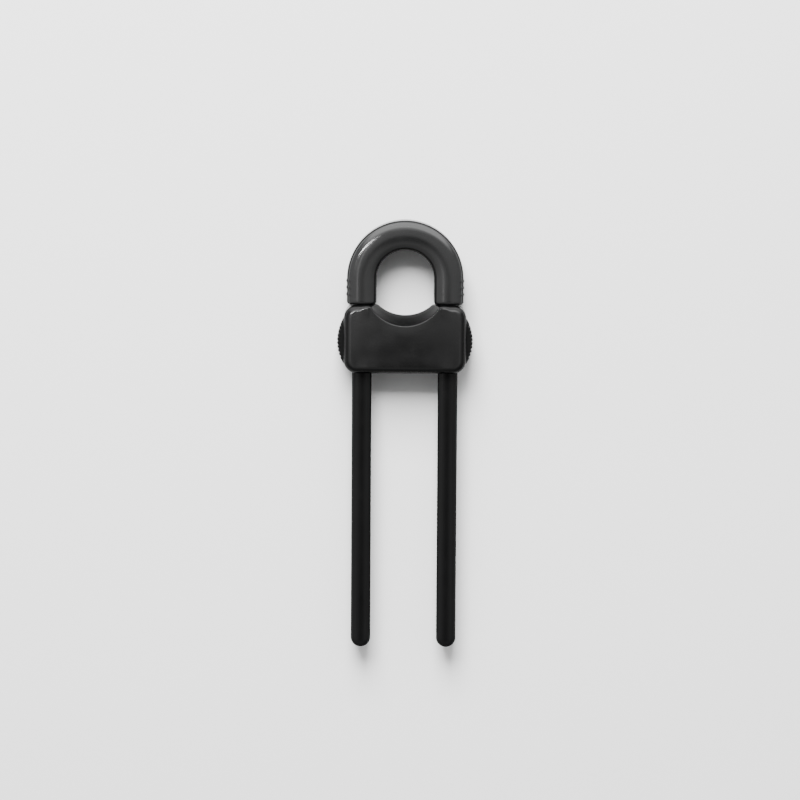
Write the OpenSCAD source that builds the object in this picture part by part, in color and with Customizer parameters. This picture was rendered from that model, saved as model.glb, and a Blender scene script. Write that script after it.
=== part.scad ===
// Sliding cabinet safety lock. A U-shaped bar goes round two cabinet handles, and a slider with a
// ratchet closes it. The lock lies on its back: Z points to the front, Y to the bow, X across.
// Z is zero at the back of the slider, and Y is zero halfway between the bow's top and the tips.

/* [Overall] */
// Length from the top of the bow to the tips of the legs
lock_l = 198; // [170:1:250]

/* [Bow] */
// Outer radius of the bow
bow_r = 26.8; // [26:0.1:32]
// Width of the bow's limbs, seen from the front
limb_w = 13.6; // [12.5:0.1:15]
// Length of each limb's straight part below the arch
limb_l = 11.7; // [10:0.1:20]
// Thickness of the bow from front to back
bow_t = 21; // [19:0.5:23]
// Radius of the bow's front edges
bow_front_r = 3.8; // [2:0.1:5]
// Radius of the bow's back edges
bow_back_r = 1.6; // [0.8:0.1:2]
// Radius of the crown across the bow's front face
bow_crown_r = 20; // [14:1:60]
// Radius of the corners where the limbs end
limb_end_r = 1.8; // [0.8:0.1:2.4]
// Wall round the hollows in the bow's back
bow_wall = 2.6; // [2:0.1:3.5]
// Depth of the hollows in the bow's back
hollow_d = 5; // [3:0.5:12]
// Thickness of the ribs between the hollows
hollow_rib_t = 1.8; // [1.2:0.1:3]
// Number of hollows round the arch
hollow_n = 6; // [4:1:9]

/* [Grip ridges] */
// Height of the small ridges on the outer side of each limb
ridge_h = 0.4; // [0.2:0.05:0.8]
// Width of a ridge at its foot
ridge_w = 1.8; // [1.2:0.1:2.4]
// Spacing of the ridges
ridge_pitch = 3.1; // [2.6:0.1:4]
// Distance from the arch's centre line to the first ridge
ridge_first = 0.9; // [0.9:0.1:2]
// How far a ridge wraps onto the rounded edges
ridge_wrap = 1.4; // [0.5:0.1:1.8]

/* [Legs] */
// Width of a leg, seen from the front
leg_w = 9.05; // [8:0.05:10]
// Thickness of a leg from front to back
leg_t = 10; // [9:0.1:10.4]
// How far the legs lie inside the middle line of the limbs
leg_inset = 0.2; // [0:0.1:1]
// Radius of a leg's front edges
leg_front_r = 2.2; // [1:0.1:3]
// Radius of a leg's back edges
leg_back_r = 1.2; // [0.6:0.1:1.6]
// Radius of the crown across a leg's front face
leg_crown_r = 24; // [12:1:60]

/* [Ratchet] */
// Spacing of the ratchet teeth
tooth_pitch = 2; // [1.6:0.1:2.4]
// Depth of the ratchet teeth
tooth_h = 1.2; // [0.9:0.1:1.3]
// Flat land left on the crest of each tooth
tooth_land = 0.25; // [0.15:0.05:0.4]
// Thickness of the plain edge in front of the teeth, which hides them
tooth_cap_t = 3; // [2.6:0.1:4]
// Number of teeth on each latch
latch_teeth = 7; // [5:1:7]

/* [Slider] */
// Height of the slider, along the legs
slider_h = 31.4; // [30.4:0.1:40]
// Thickness of the slider from front to back
slider_t = 23; // [22.6:0.1:26]
// Radius of the slider's four corners, seen from the front
slider_corner_r = 3.8; // [3:0.1:5]
// Radius of the slider's front edges
slider_front_r = 3; // [1.5:0.1:3]
// Radius of the slider's back edges
slider_back_r = 1; // [1:0.1:3]
// Radius of the crown across the slider's front face
slider_crown_r = 420; // [250:10:900]
// Thickness of the slider's side, top and bottom walls
side_wall = 2; // [1.8:0.1:2.4]
// Thickness of the slider's front and back walls
face_wall = 2.4; // [2:0.1:2.6]
// Thickness of the ribs inside the slider that guide the latches and legs
rib_t = 1.7; // [1.2:0.1:1.8]
// Height of the tongue that joins the slider's two shells
tongue_h = 1.1; // [0.6:0.1:1.6]
// Thickness of that tongue
tongue_t = 1; // [0.6:0.1:1.2]
// Gap between the closed slider and the bow's limbs
seat_gap = 0.3; // [0.1:0.05:0.6]

/* [Saddle] */
// Radius of the hollow in the slider's top
saddle_r = 18.6; // [17:0.1:24]
// Depth of the hollow at its ridge, halfway between front and back
saddle_mid_d = 5; // [3.5:0.1:5.4]
// Depth of the hollow at the front and back faces
saddle_face_d = 9.5; // [8:0.1:9.6]
// Thickness of the straight land between the hollow's two flared halves
saddle_land_t = 2; // [1:0.5:4]
// Radius of the shoulders beside the hollow
shoulder_r = 2.2; // [1:0.1:3]

/* [Buttons] */
// Height of the buttons, along the legs
button_h = 21; // [18:0.1:21]
// Thickness of the buttons from front to back
button_t = 13.8; // [13.6:0.1:14.6]
// Radius of the buttons' corners, seen from the side
button_corner_r = 3; // [1.5:0.1:4]
// How far the buttons stand out from the slider's sides
button_out = 3.1; // [2:0.1:4]
// How far the buttons lie below the middle of the slider
button_drop = 1; // [0.4:0.1:1]
// How far a button can be pressed in
press_l = 1.8; // [1.6:0.1:1.9]
// Spacing of the ribs on the soft grips
grip_pitch = 1.8; // [1.2:0.1:2.4]
// Thickness of the soft grips at their upper and lower edges
grip_edge_t = 0.3; // [0.2:0.1:1]
// Depth of the grooves between the ribs
grip_groove_d = 0.45; // [0.2:0.05:0.8]
// Length of the latch frames, along the legs
latch_l = 16; // [15:0.5:17]
// Thickness of the toothed bar of each latch
latch_bar_t = 2.4; // [2:0.1:3]

/* [Springs and screws] */
// Diameter of the spring wire
wire_d = 0.6; // [0.4:0.05:0.7]
// Outer diameter of the springs
spring_d = 4.6; // [4.2:0.1:4.8]
// Number of turns of each spring
spring_turns = 7; // [5:1:8]
// Thickness of the wall that both springs push on
spring_wall_t = 2.4; // [1.6:0.1:3]
// Diameter of the screws' shanks
screw_d = 2; // [1.6:0.1:2.2]
// Diameter of the screws' heads
screw_head_d = 4; // [3.4:0.1:4]
// Height of the screws' heads
screw_head_t = 1.5; // [1:0.1:1.8]
// Length of the screws under their heads
screw_l = 12; // [10:0.5:13]
// Diameter of the screw posts
post_d = 5; // [4.6:0.1:5.2]
// Distance from the middle of the slider to the screws
screw_x = 7; // [6.6:0.1:7.4]

/* [Clearances] */
// Gap between a leg and the slider's openings
leg_gap = 0.25; // [0.2:0.05:0.35]
// Gap between a leg and the parts of a latch, and between a pressed button and its leg
latch_gap = 0.3; // [0.2:0.05:0.4]
// Gap between a button and the edge of its window
button_gap = 0.2; // [0.15:0.05:0.3]
// Gap between meshed teeth, across their slope
mesh_gap = 0.2; // [0.15:0.01:0.25]
// Gap between the steep faces of meshed teeth
steep_gap = 0.08; // [0.05:0.01:0.1]
// Small gap where two fixed parts seat
fit_gap = 0.1; // [0.05:0.01:0.12]

/* [Hidden] */
$fn = 96;

// Overrun of cuts past the faces that they cut
overrun = 1;
// The plane halfway through the slider, where its shells meet and the legs' middle lies
mid_z = slider_t / 2;

// Places along the lock
bow_top_y = lock_l / 2;
tip_y = -lock_l / 2;
arch_y = bow_top_y - bow_r;
limb_end_y = arch_y - limb_l;
slider_top_y = limb_end_y - seat_gap;
slider_mid_y = slider_top_y - slider_h / 2;
slider_bottom_y = slider_top_y - slider_h;
latch_y = slider_mid_y - button_drop;

// Places across the lock
limb_x = bow_r - limb_w / 2;
leg_x = limb_x - leg_inset;
leg_in_x = leg_x - leg_w / 2;
leg_out_x = leg_x + leg_w / 2;
// The inside of the slider's side walls, with room beside the legs for a button's travel
cavity_x = leg_out_x + press_l;
slider_x = cavity_x + side_wall;

// Half thicknesses, from the middle plane outwards
leg_half_t = leg_t / 2;
cavity_half_t = mid_z - face_wall;
cheek_in = leg_half_t + latch_gap;
// Running gap between a latch and the slider's front and back walls
cheek_run = 2 * latch_gap;
cheek_out = cavity_half_t - cheek_run;

// The saddle: a straight land in the middle, and two flares that lean towards the faces
saddle_bottom_y = slider_top_y - saddle_mid_d;
saddle_y = saddle_bottom_y + saddle_r;
saddle_lean = atan((saddle_face_d - saddle_mid_d) / (mid_z - saddle_land_t / 2));
saddle_l = slider_t / cos(saddle_lean) + 2 * saddle_r;
// The middle of a shoulder, from the saddle's axis
shoulder_drop = saddle_y - slider_top_y + shoulder_r;
shoulder_x = sqrt((saddle_r + shoulder_r) * (saddle_r + shoulder_r) - shoulder_drop * shoulder_drop);

// The teeth: a saw line whose crests pass the leg's face, which leaves the lands
saw_over = tooth_h * tooth_land / (tooth_pitch - tooth_land);
latch_first_y = latch_y - latch_teeth * tooth_pitch / 2;
teeth_below = floor((latch_first_y - tip_y - leg_w / 2) / tooth_pitch);
teeth_above = floor((limb_end_y - limb_end_r - latch_first_y) / tooth_pitch);
// The thickness of the toothed band behind the plain edge
tooth_band_t = leg_t - tooth_cap_t;

// The latch: its toothed bar, the inner face of its button and the seat of the grip
bar_tooth_x = leg_in_x - mesh_gap;
bar_in_x = leg_in_x - latch_gap - latch_bar_t;
button_in_x = leg_out_x + press_l + latch_gap;
grip_seat_x = slider_x + fit_gap;
grip_out_x = slider_x + button_out;
grip_h = button_h - 2 * button_gap;
grip_t = button_t - 2 * button_gap;
grip_rise = grip_out_x - grip_seat_x - grip_edge_t;
grip_r = (grip_h * grip_h / 4 + grip_rise * grip_rise) / (2 * grip_rise);

// The springs and the pegs that hold them
spring_r = (spring_d - wire_d) / 2;
spring_from_x = spring_wall_t / 2 + fit_gap;
spring_to_x = bar_in_x - fit_gap;
spring_rings = 8;
spring_sides = 6;
peg_d = spring_d - 2 * wire_d - 2 * latch_gap - 2 * spring_r * (1 - cos(180 / spring_rings));
peg_l = peg_d / 2;
spring_room = spring_d + 2 * latch_gap;

// The screws: a pair above and a pair below the springs
recess_d = screw_head_d + 4 * fit_gap;
recess_depth = mid_z - screw_l / 2;
screw_top_y = latch_y + spring_room / 2 + post_d / 2;
screw_low_y = slider_bottom_y + side_wall + post_d / 2 + latch_gap;
screw_places = [for (side = [-1, 1], y = [screw_low_y, screw_top_y]) [side * screw_x, y]];

plastic = "#3d3d40";
dark_plastic = "#343436";
rubber = "#1f1f21";
steel = "#b9bcc0";

// A section with its back on the X axis, rounded edges and a front crown that meets them smoothly
module crowned_section(w, t, front_r, back_r, crown_r) {
    reach = w / 2 - front_r;
    crown_to_corner = crown_r - front_r;
    corner_y = t - crown_r + sqrt(crown_to_corner * crown_to_corner - reach * reach);
    crown_x = reach * crown_r / crown_to_corner;
    translate([-w / 2, back_r]) square([w, corner_y - back_r]);
    translate([back_r - w / 2, 0]) square([w - 2 * back_r, corner_y]);
    for (side = [-1, 1]) {
        translate([side * reach, corner_y]) circle(front_r);
        translate([side * (w / 2 - back_r), back_r]) circle(back_r);
    }
    intersection() {
        translate([0, t - crown_r]) circle(crown_r, $fn = 360);
        translate([-crown_x, back_r]) square([2 * crown_x, t]);
    }
}

// A flat section with its back on the X axis and rounded edges
module edged_section(w, t, front_r, back_r) {
    translate([-w / 2, back_r]) square([w, t - front_r - back_r]);
    translate([back_r - w / 2, 0]) square([w - 2 * back_r, t - front_r]);
    translate([front_r - w / 2, back_r]) square([w - 2 * front_r, t - back_r]);
    for (side = [-1, 1]) {
        translate([side * (w / 2 - front_r), t - front_r]) circle(front_r);
        translate([side * (w / 2 - back_r), back_r]) circle(back_r);
    }
}

// A strip that ends at the X axis in two rounded corners and runs along +Y
module strip_end(w, l, r) {
    translate([-w / 2, r]) square([w, l - r]);
    translate([r - w / 2, 0]) square([w - 2 * r, l]);
    for (side = [-1, 1]) {
        translate([side * (w / 2 - r), r]) circle(r);
    }
}

// A strip that ends in a half circle about the origin and runs along +Y
module round_end(w, l) {
    circle(d = w);
    translate([-w / 2, 0]) square([w, l]);
}

// Extrudes a section along +Y, with the section's own Y upwards
module along_y(l) {
    translate([0, l, 0]) rotate([90, 0, 0]) linear_extrude(l) children();
}

// Extrudes an outline given in Y and Z along +X
module along_x(l) {
    rotate([90, 0, 90]) linear_extrude(l) children();
}

// The same shape on both sides of the lock
module both_sides() {
    children();
    mirror([1, 0, 0]) children();
}

module bow_section(grow = 0) {
    translate([0, -grow])
        crowned_section(limb_w + 2 * grow, bow_t + 2 * grow, bow_front_r + grow, bow_back_r + grow,
            bow_crown_r + grow);
}

module bow_arch() {
    translate([0, arch_y, 0])
        rotate_extrude(angle = 180, $fn = 180)
            translate([limb_x, 0]) bow_section();
}

module limb() {
    intersection() {
        translate([limb_x, limb_end_y, 0]) along_y(limb_l) bow_section();
        translate([limb_x, limb_end_y, 0]) linear_extrude(bow_t) strip_end(limb_w, limb_l, limb_end_r);
        translate([limb_x - limb_w / 2, limb_end_y, bow_t / 2])
            along_x(limb_w)
                rotate(-90) strip_end(bow_t, limb_l, limb_end_r);
    }
}

// Carries on from a limb into the arch, inside both, so that they don't only touch face to face
module limb_core() {
    translate([limb_x - bow_wall / 2, arch_y - bow_wall, bow_t / 2])
        cube([bow_wall, 2 * bow_wall, bow_wall]);
}

// The small pointed ridges on the outer side of a limb, which a thumb pulls on
module grip_ridges() {
    intersection() {
        translate([limb_x, limb_end_y, 0]) along_y(limb_l) bow_section(ridge_h);
        linear_extrude(bow_t)
            for (i = [0 : 2])
                translate([bow_r, arch_y - ridge_first - i * ridge_pitch])
                    polygon([[-ridge_wrap, -ridge_w / 2], [0, -ridge_w / 2], [ridge_h, 0],
                        [0, ridge_w / 2], [-ridge_wrap, ridge_w / 2]]);
    }
}

// The hollows in the bow's back, with ribs left between them
module bow_hollows() {
    hollow_w = limb_w - 2 * bow_wall;
    difference() {
        union() {
            translate([0, arch_y, -overrun])
                rotate_extrude(angle = 180, $fn = 180)
                    translate([limb_x - hollow_w / 2, 0]) square([hollow_w, hollow_d + overrun]);
            both_sides()
                translate([limb_x - hollow_w / 2, limb_end_y + bow_wall, -overrun])
                    cube([hollow_w, limb_l - bow_wall, hollow_d + overrun]);
        }
        for (i = [0 : hollow_n])
            translate([0, arch_y, -overrun])
                rotate(i * 180 / hollow_n)
                    translate([0, -hollow_rib_t / 2, 0])
                        cube([bow_r, hollow_rib_t, hollow_d + 2 * overrun]);
    }
}

module leg_section(grow = 0) {
    translate([0, -grow])
        crowned_section(leg_w + 2 * grow, leg_t + 2 * grow, leg_front_r + grow, leg_back_r + grow,
            leg_crown_r + grow);
}

module leg_blank() {
    leg_l = limb_end_y + bow_wall - tip_y;
    intersection() {
        translate([leg_x, tip_y, mid_z - leg_half_t]) along_y(leg_l) leg_section();
        translate([leg_x, tip_y + leg_w / 2, 0]) linear_extrude(slider_t) round_end(leg_w, leg_l);
        translate([leg_in_x, tip_y, mid_z])
            along_x(leg_w)
                rotate(-90) strip_end(leg_t, leg_l, leg_front_r);
    }
}

// The saw line of the ratchet, from its root to its crests: steep faces look towards the bow
function saw(x, y, first, last) = [
    for (i = [first : last - 1], step = [0, 1])
        [x + (step == 0 ? tooth_h : -saw_over), y + (i + step) * tooth_pitch]
];

// The cut between the teeth. Below the last tooth it runs on to the leg's tip, at the depth of its roots
module leg_teeth() {
    high_y = latch_first_y + teeth_above * tooth_pitch;
    translate([0, 0, mid_z - leg_half_t - overrun])
        linear_extrude(tooth_band_t + overrun)
            polygon(concat([[leg_in_x - overrun, tip_y - overrun], [leg_in_x + tooth_h, tip_y - overrun]],
                saw(leg_in_x, latch_first_y, -teeth_below, teeth_above),
                [[leg_in_x - overrun, high_y]]));
}

module toothed_leg() {
    difference() {
        leg_blank();
        leg_teeth();
    }
}

module u_bar() {
    color(plastic) {
        difference() {
            union() {
                bow_arch();
                both_sides() limb();
                both_sides() limb_core();
                both_sides() grip_ridges();
            }
            bow_hollows();
        }
        both_sides() toothed_leg();
    }
}

// The hollow in the slider's top, or with a wall the limit that this wall sets to the inside
module saddle(wall = 0) {
    r = saddle_r + wall;
    translate([0, saddle_y, -overrun]) cylinder(h = slider_t + 2 * overrun, r = r, $fn = 180);
    for (side = [-1, 1])
        translate([0, saddle_bottom_y + saddle_r / cos(saddle_lean), mid_z + side * saddle_land_t / 2])
            rotate([side * saddle_lean, 0, 0]) cylinder(h = saddle_l, r = r, center = true, $fn = 180);
}

// What rounds the shoulders takes away beside the hollow
module shoulder_cut() {
    foot = saddle_r / (saddle_r + shoulder_r) * [shoulder_x, -shoulder_drop];
    translate([0, saddle_y, -overrun])
        linear_extrude(slider_t + 2 * overrun)
            difference() {
                polygon([
                    [-foot.x, foot.y], [foot.x, foot.y], [shoulder_x, -shoulder_drop],
                    [shoulder_x, overrun - shoulder_drop + shoulder_r],
                    [-shoulder_x, overrun - shoulder_drop + shoulder_r],
                    [-shoulder_x, -shoulder_drop]
                ]);
                for (side = [-1, 1])
                    translate([side * shoulder_x, -shoulder_drop]) circle(shoulder_r);
            }
}

// A block whose edges run round its corners without a seam
module soft_block(w, h, t, corner_r, front_r, back_r) {
    run_w = w - 2 * corner_r;
    run_h = h - 2 * corner_r;
    translate([0, -run_h / 2, 0]) along_y(run_h) edged_section(w, t, front_r, back_r);
    translate([-run_w / 2, 0, 0]) along_x(run_w) edged_section(h, t, front_r, back_r);
    for (x = [-1, 1], y = [-1, 1])
        translate([x * run_w / 2, y * run_h / 2, 0])
            rotate_extrude()
                intersection() {
                    edged_section(2 * corner_r, t, front_r, back_r);
                    square([corner_r, t]);
                }
}

// The slider's outer shape, with the hollow in its top
module slider_blank() {
    difference() {
        intersection() {
            translate([0, slider_mid_y, 0])
                soft_block(2 * slider_x, slider_h, slider_t, slider_corner_r, slider_front_r,
                    slider_back_r);
            translate([0, slider_bottom_y, slider_t - slider_crown_r])
                along_y(slider_h) circle(slider_crown_r, $fn = 1440);
        }
        saddle();
        shoulder_cut();
    }
}

// The space inside the slider. grow widens it into the walls
module cavity(grow = 0) {
    difference() {
        translate([-cavity_x - grow, slider_bottom_y + side_wall - grow, face_wall])
            cube([2 * (cavity_x + grow), slider_h - 2 * (side_wall - grow), slider_t - 2 * face_wall]);
        saddle(side_wall - grow);
    }
}

// A rib on each side of the latch, which guides it and the leg
module guide_ribs() {
    rib_x = bar_in_x - latch_gap;
    for (y = [latch_y - latch_l / 2 - latch_gap - rib_t, latch_y + latch_l / 2 + latch_gap])
        translate([rib_x, y, face_wall]) cube([cavity_x - rib_x, rib_t, slider_t - 2 * face_wall]);
}

// What passes through the slider: a leg, and the window for a button
module side_openings() {
    translate([leg_x, slider_bottom_y - overrun, mid_z - leg_half_t])
        along_y(slider_h + 2 * overrun) leg_section(leg_gap);
    translate([leg_out_x, latch_y, mid_z])
        button_outline(slider_x - leg_out_x + overrun, button_gap);
}

// A rounded rectangle in Y and Z, as the button's outline, extruded along +X
module button_outline(l, grow = 0) {
    r = button_corner_r + grow;
    h = button_h + 2 * grow;
    t = button_t + 2 * grow;
    along_x(l) {
        square([h - 2 * r, t], center = true);
        square([h, t - 2 * r], center = true);
        for (y = [-1, 1], z = [-1, 1])
            translate([y * (h / 2 - r), z * (t / 2 - r)]) circle(r);
    }
}

module screw_posts(from_z, to_z) {
    for (place = screw_places)
        translate([place.x, place.y, from_z]) cylinder(h = to_z - from_z, d = post_d);
}

module screw_holes(from_z, to_z, d) {
    for (place = screw_places)
        translate([place.x, place.y, from_z]) cylinder(h = to_z - from_z, d = d);
}

// A slab across the slider between two heights
module slab(from_z, to_z) {
    translate([-slider_x - overrun, slider_bottom_y - overrun, from_z])
        cube([2 * (slider_x + overrun), slider_h + 2 * overrun, to_z - from_z]);
}

// One shell's walls, ribs and posts, before the openings
module shell(from_z, to_z) {
    intersection() {
        union() {
            difference() {
                slider_blank();
                cavity();
            }
            both_sides() guide_ribs();
            screw_posts(face_wall / 2, slider_t - face_wall / 2);
        }
        slab(from_z, to_z);
    }
}

module housing_front() {
    color(plastic)
        difference() {
            shell(mid_z, slider_t + overrun);
            intersection() {
                cavity(tongue_t + fit_gap);
                slab(mid_z - overrun, mid_z + tongue_h + fit_gap);
            }
            both_sides() side_openings();
            screw_holes(mid_z - overrun, recess_depth + screw_l + screw_d / 2, screw_d + fit_gap);
        }
}

module housing_back() {
    color(dark_plastic) {
        difference() {
            union() {
                shell(-overrun, mid_z);
                intersection() {
                    difference() {
                        cavity(tongue_t);
                        cavity();
                    }
                    slab(mid_z - tongue_h, mid_z + tongue_h);
                }
            }
            both_sides() side_openings();
            screw_holes(-overrun, mid_z + overrun, screw_d + 4 * fit_gap);
            screw_holes(-overrun, recess_depth, recess_d);
        }
        spring_wall();
    }
}

// The wall between the springs, with a peg on each side
module spring_wall() {
    translate([-spring_wall_t / 2, latch_y - spring_d / 2, face_wall - fit_gap])
        cube([spring_wall_t, spring_d, mid_z + spring_d / 2 - face_wall + fit_gap]);
    translate([0, latch_y, mid_z])
        rotate([0, 90, 0]) cylinder(h = spring_wall_t + 2 * peg_l, d = peg_d, center = true);
}

// A frame round the leg: a button outside it, a toothed bar inside it and two cheeks
module latch() {
    frame_x = cavity_x - fit_gap - bar_in_x;
    bar_x = leg_in_x - latch_gap - bar_in_x;
    translate([0, latch_y, mid_z]) {
        for (side = [-1, 1])
            translate([bar_in_x, -latch_l / 2, side * (cheek_in + cheek_out) / 2
                - (cheek_out - cheek_in) / 2])
                cube([frame_x, latch_l, cheek_out - cheek_in]);
        translate([bar_in_x, -latch_l / 2, -cheek_out]) cube([bar_x, latch_l, 2 * cheek_out]);
        difference() {
            translate([button_in_x - press_l, 0, 0])
                button_outline(grip_seat_x - button_in_x + press_l);
            translate([button_in_x - press_l - overrun, -button_h, -cheek_in])
                cube([press_l + overrun, 2 * button_h, 2 * cheek_in]);
            translate([button_in_x - press_l - overrun, latch_l / 2, -button_t])
                cube([press_l + overrun, button_h, 2 * button_t]);
            translate([button_in_x - press_l - overrun, -latch_l / 2 - button_h, -button_t])
                cube([press_l + overrun, button_h, 2 * button_t]);
        }
        translate([bar_in_x - peg_l, 0, 0]) rotate([0, 90, 0]) cylinder(h = 2 * peg_l, d = peg_d);
    }
    latch_saw();
}

module latch_saw() {
    low_y = latch_first_y + steep_gap;
    high_y = low_y + latch_teeth * tooth_pitch;
    translate([0, 0, mid_z - cheek_in])
        linear_extrude(tooth_band_t)
            polygon(concat([[bar_in_x, low_y]],
                saw(bar_tooth_x, low_y, 0, latch_teeth),
                [[bar_in_x, high_y]]));
}

// The soft ribbed pad on a button
module grip() {
    grooves = floor((grip_h / 2 - grip_pitch) / grip_pitch);
    crown_x = grip_out_x - grip_r;
    intersection() {
        translate([grip_seat_x, latch_y, mid_z]) button_outline(grip_out_x - grip_seat_x, -button_gap);
        difference() {
            translate([crown_x, latch_y, 0]) cylinder(h = slider_t, r = grip_r, $fn = 180);
            for (i = [-grooves : grooves])
                translate([crown_x, latch_y, -overrun])
                    rotate(i * 2 * asin(grip_pitch / 2 / grip_r))
                        translate([grip_r, 0, 0])
                            rotate(45)
                                cube([grip_groove_d * sqrt(2), grip_groove_d * sqrt(2),
                                    2 * slider_t + 2 * overrun], center = true);
        }
    }
}

// The centre line of a spring, which winds round the X axis
function coil_point(i) = [
    spring_from_x + wire_d / 2
        + (spring_to_x - spring_from_x - wire_d) * i / (spring_turns * spring_rings),
    spring_r * cos(i * 360 / spring_rings),
    spring_r * sin(i * 360 / spring_rings)
];

function unit(v) = v / norm(v);

// A ring of the wire's surface, square to the centre line
function coil_ring(i) =
    let (
        centre = coil_point(i),
        way = unit(coil_point(i + 1) - coil_point(i - 1)),
        outward = unit([0, centre.y, centre.z]),
        across = cross(way, outward)
    )
    [for (k = [0 : spring_sides - 1])
        let (angle = k * 360 / spring_sides)
            centre + wire_d / 2 * (cos(angle) * outward + sin(angle) * across)];

// The least gap between stretches of the wire that lie half a turn or more apart
function coil_gap() = min([
    for (i = [0 : spring_turns * spring_rings], j = [i + spring_rings / 2 : spring_turns * spring_rings])
        norm(coil_point(i) - coil_point(j)) - wire_d
]);

module spring() {
    last = spring_turns * spring_rings;
    points = [for (i = [0 : last], p = coil_ring(i)) p];
    sides = [
        for (i = [0 : last - 1], k = [0 : spring_sides - 1], half = [0, 1])
            let (
                a = i * spring_sides + k,
                b = i * spring_sides + (k + 1) % spring_sides,
                c = a + spring_sides,
                d = b + spring_sides
            )
            half == 0 ? [a, c, b] : [b, c, d]
    ];
    ends = [
        for (k = [1 : spring_sides - 2], end = [0, 1])
            end == 0
                ? [0, k, k + 1]
                : [last * spring_sides, last * spring_sides + k + 1, last * spring_sides + k]
    ];
    translate([0, latch_y, mid_z]) polyhedron(points, concat(sides, ends), convexity = 10);
}

module screw() {
    slot_w = screw_head_d / 6;
    slot_l = screw_head_d / 2;
    slot_d = screw_head_t / 2;
    difference() {
        union() {
            translate([0, 0, -screw_head_t]) cylinder(h = screw_head_t, d = screw_head_d);
            cylinder(h = screw_l - screw_d, d = screw_d);
            translate([0, 0, screw_l - screw_d]) cylinder(h = screw_d, d1 = screw_d, d2 = screw_d / 4);
        }
        for (turn = [0, 90])
            rotate(turn)
                translate([-slot_l / 2, -slot_w / 2, -screw_head_t - overrun])
                    cube([slot_l, slot_w, slot_d + overrun]);
    }
}

module housing_screws() {
    color(steel)
        for (place = screw_places)
            translate([place.x, place.y, recess_depth]) screw();
}

module right_latch() {
    color(rubber) latch();
}

module left_latch() {
    color(rubber) mirror([1, 0, 0]) latch();
}

module right_grip() {
    color(rubber) grip();
}

module left_grip() {
    color(rubber) mirror([1, 0, 0]) grip();
}

module right_spring() {
    color(steel) spring();
}

module left_spring() {
    color(steel) mirror([1, 0, 0]) spring();
}

echo(str("Least gap between the turns of a spring: ", coil_gap(), " mm"));

u_bar();
housing_front();
housing_back();
left_latch();
right_latch();
left_grip();
right_grip();
left_spring();
right_spring();
housing_screws();
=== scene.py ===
"""Looks of the sliding cabinet safety lock: camera, floor, light, moulded plastic and detailed pieces.

The frame has +Y to the bow, +Z to the front and X across, in metres. The lock lies on its back on the floor.
"""

import functools
import math

import bmesh
import bpy
from mathutils import Matrix, Vector


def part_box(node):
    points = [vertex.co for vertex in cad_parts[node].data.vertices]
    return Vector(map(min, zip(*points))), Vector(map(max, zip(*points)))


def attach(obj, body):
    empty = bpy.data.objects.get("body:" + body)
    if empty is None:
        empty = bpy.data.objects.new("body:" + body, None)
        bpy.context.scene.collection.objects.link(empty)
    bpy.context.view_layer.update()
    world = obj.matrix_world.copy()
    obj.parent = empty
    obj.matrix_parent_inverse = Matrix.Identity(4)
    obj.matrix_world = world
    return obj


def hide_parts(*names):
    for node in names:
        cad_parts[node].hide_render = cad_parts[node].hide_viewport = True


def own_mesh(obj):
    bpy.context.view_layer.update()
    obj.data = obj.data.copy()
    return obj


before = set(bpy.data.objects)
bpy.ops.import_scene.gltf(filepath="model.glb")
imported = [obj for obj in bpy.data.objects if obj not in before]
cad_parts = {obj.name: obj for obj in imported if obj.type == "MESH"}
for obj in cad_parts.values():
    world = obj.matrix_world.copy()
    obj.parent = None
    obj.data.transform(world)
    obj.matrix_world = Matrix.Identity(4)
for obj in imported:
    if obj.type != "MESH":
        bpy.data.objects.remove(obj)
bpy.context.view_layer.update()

MM = 0.001
HAIR = 0.01 * MM
WELD = HAIR / 20

# Places that the frame gives
bar_low, bar_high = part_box("u_bar")
front_low, front_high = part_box("housing_front")
back_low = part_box("housing_back")[0]
grip_low, grip_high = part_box("right_grip")
spring_low, spring_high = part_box("right_spring")
screws_low, screws_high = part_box("housing_screws")

# The bow and its limbs
BOW_R = 26.8 * MM
BOW_T = 21 * MM
LIMB_W = 13.6 * MM
LIMB_L = 11.7 * MM
BOW_FRONT_R = 3.8 * MM
BOW_BACK_R = 1.6 * MM
BOW_CROWN_R = 20 * MM
LIMB_END_R = 1.3 * MM
BOW_WALL = 2.6 * MM
HOLLOW_D = 5 * MM
HOLLOW_RIB_T = 1.8 * MM
HOLLOWS = 6
HOLLOW_DRAFT = 0.12 * MM
HOLLOW_FILLET = 0.4 * MM
RIDGE_H = 0.4 * MM
RIDGE_W = 1.8 * MM
RIDGE_PITCH = 3.1 * MM
RIDGE_FIRST = 0.9 * MM
RIDGES = 3
RIDGE_FRONT = 0.35  # the outward share of the section's normal at which the ridges end
RIDGE_FULL = 0.85  # and that from which they have their full height

# The legs and their teeth
LEG_W = 9.05 * MM
LEG_T = 10 * MM
LEG_INSET = 0.2 * MM
LEG_FRONT_R = 2.2 * MM
LEG_BACK_R = 1.2 * MM
LEG_CROWN_R = 24 * MM
TOOTH_PITCH = 2 * MM
TOOTH_H = 1.2 * MM
TOOTH_LAND = 0.25 * MM
TOOTH_CAP_T = 3 * MM
LATCH_TEETH = 7

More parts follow.
